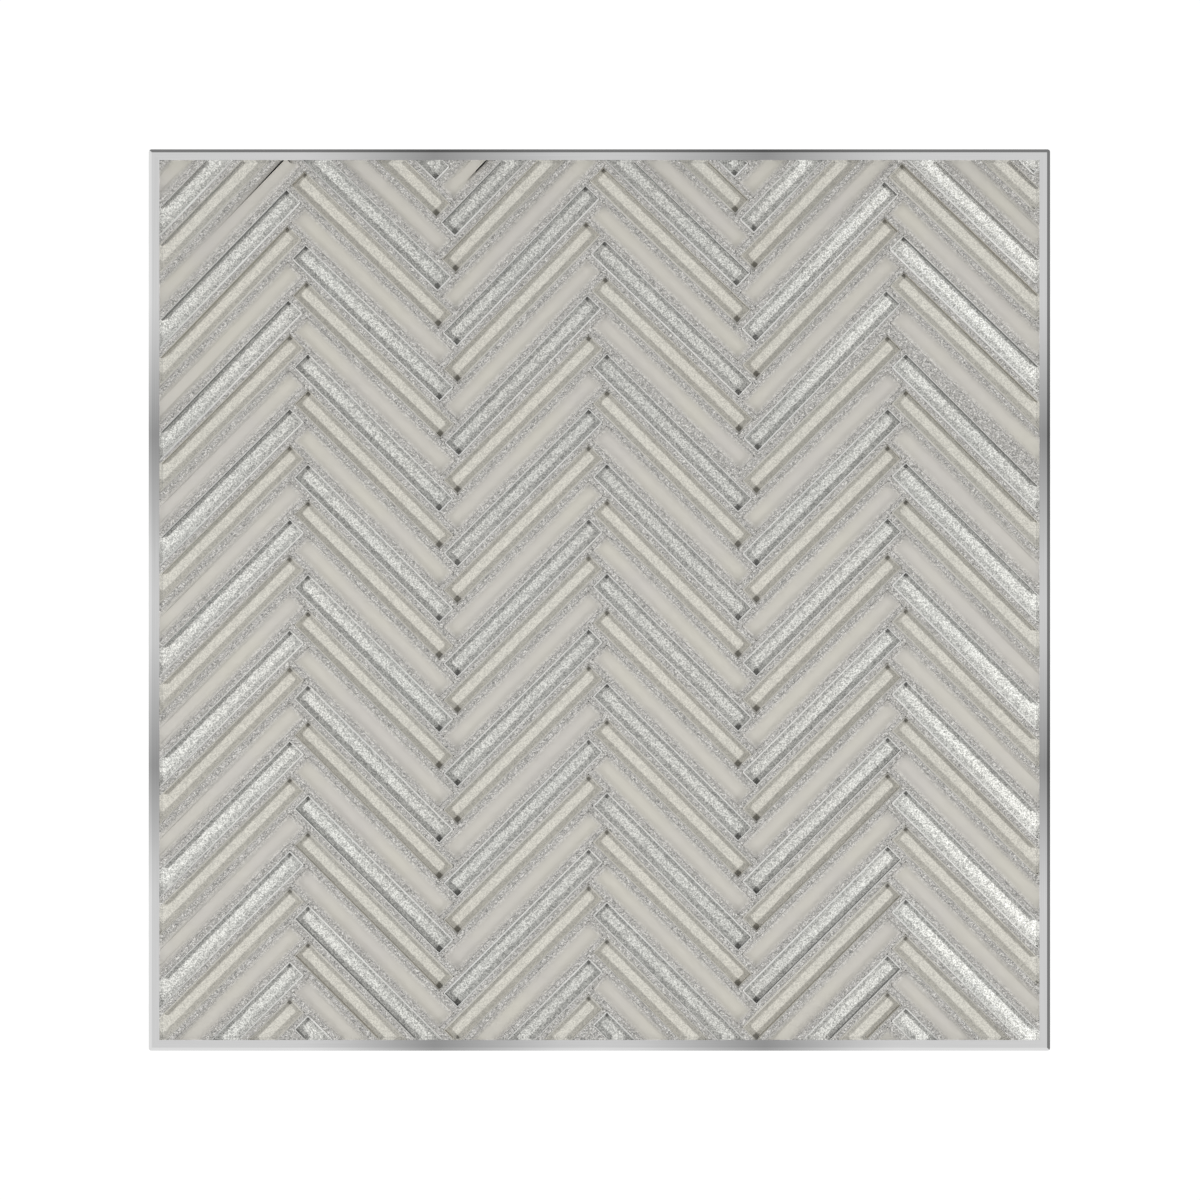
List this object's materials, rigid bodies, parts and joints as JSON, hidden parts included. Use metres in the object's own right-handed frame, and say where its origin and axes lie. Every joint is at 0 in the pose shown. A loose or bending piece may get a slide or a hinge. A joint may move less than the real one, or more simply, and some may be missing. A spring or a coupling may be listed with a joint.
{
  "type": "herringbone mosaic tile",
  "caption": "Square mosaic panel of silver, cream and frosted glass strips laid in herringbone, grouted on a board and edged with a slim bevelled metal frame.",
  "frame": {"origin": "centre of the panel on its back face", "axes": "+Z out of the glass face, +Y towards the top rail, +X to the right seen from the front"},
  "size_m": [0.3048, 0.3048, 0.0108],
  "materials": {
    "frame_metal": "brushed silver",
    "backing_board": "fibre cement, matt",
    "grout": "fine glitter, matt",
    "silver_glass": "clear glass over crackled silver foil",
    "cream_glass": "gloss, painted back",
    "frosted_glass": "satin"
  },
  "bodies": {
    "root": {"frame_rail_top": "frame_metal", "frame_rail_right": "frame_metal", "frame_rail_bottom": "frame_metal", "frame_rail_left": "frame_metal", "backing_board": "backing_board", "grout_bed": "grout", "silver_strips_column_1": "silver_glass", "silver_strips_column_2": "silver_glass", "silver_strips_column_3": "silver_glass", "silver_strips_column_4": "silver_glass", "silver_strips_column_5": "silver_glass", "silver_strips_column_6": "silver_glass", "cream_strips_column_1": "cream_glass", "cream_strips_column_2": "cream_glass", "cream_strips_column_3": "cream_glass", "cream_strips_column_4": "cream_glass", "cream_strips_column_5": "cream_glass", "cream_strips_column_6": "cream_glass", "frosted_strips_column_1": "frosted_glass", "frosted_strips_column_2": "frosted_glass", "frosted_strips_column_3": "frosted_glass", "frosted_strips_column_4": "frosted_glass", "frosted_strips_column_5": "frosted_glass", "frosted_strips_column_6": "frosted_glass"}
  },
  "joints": []
}
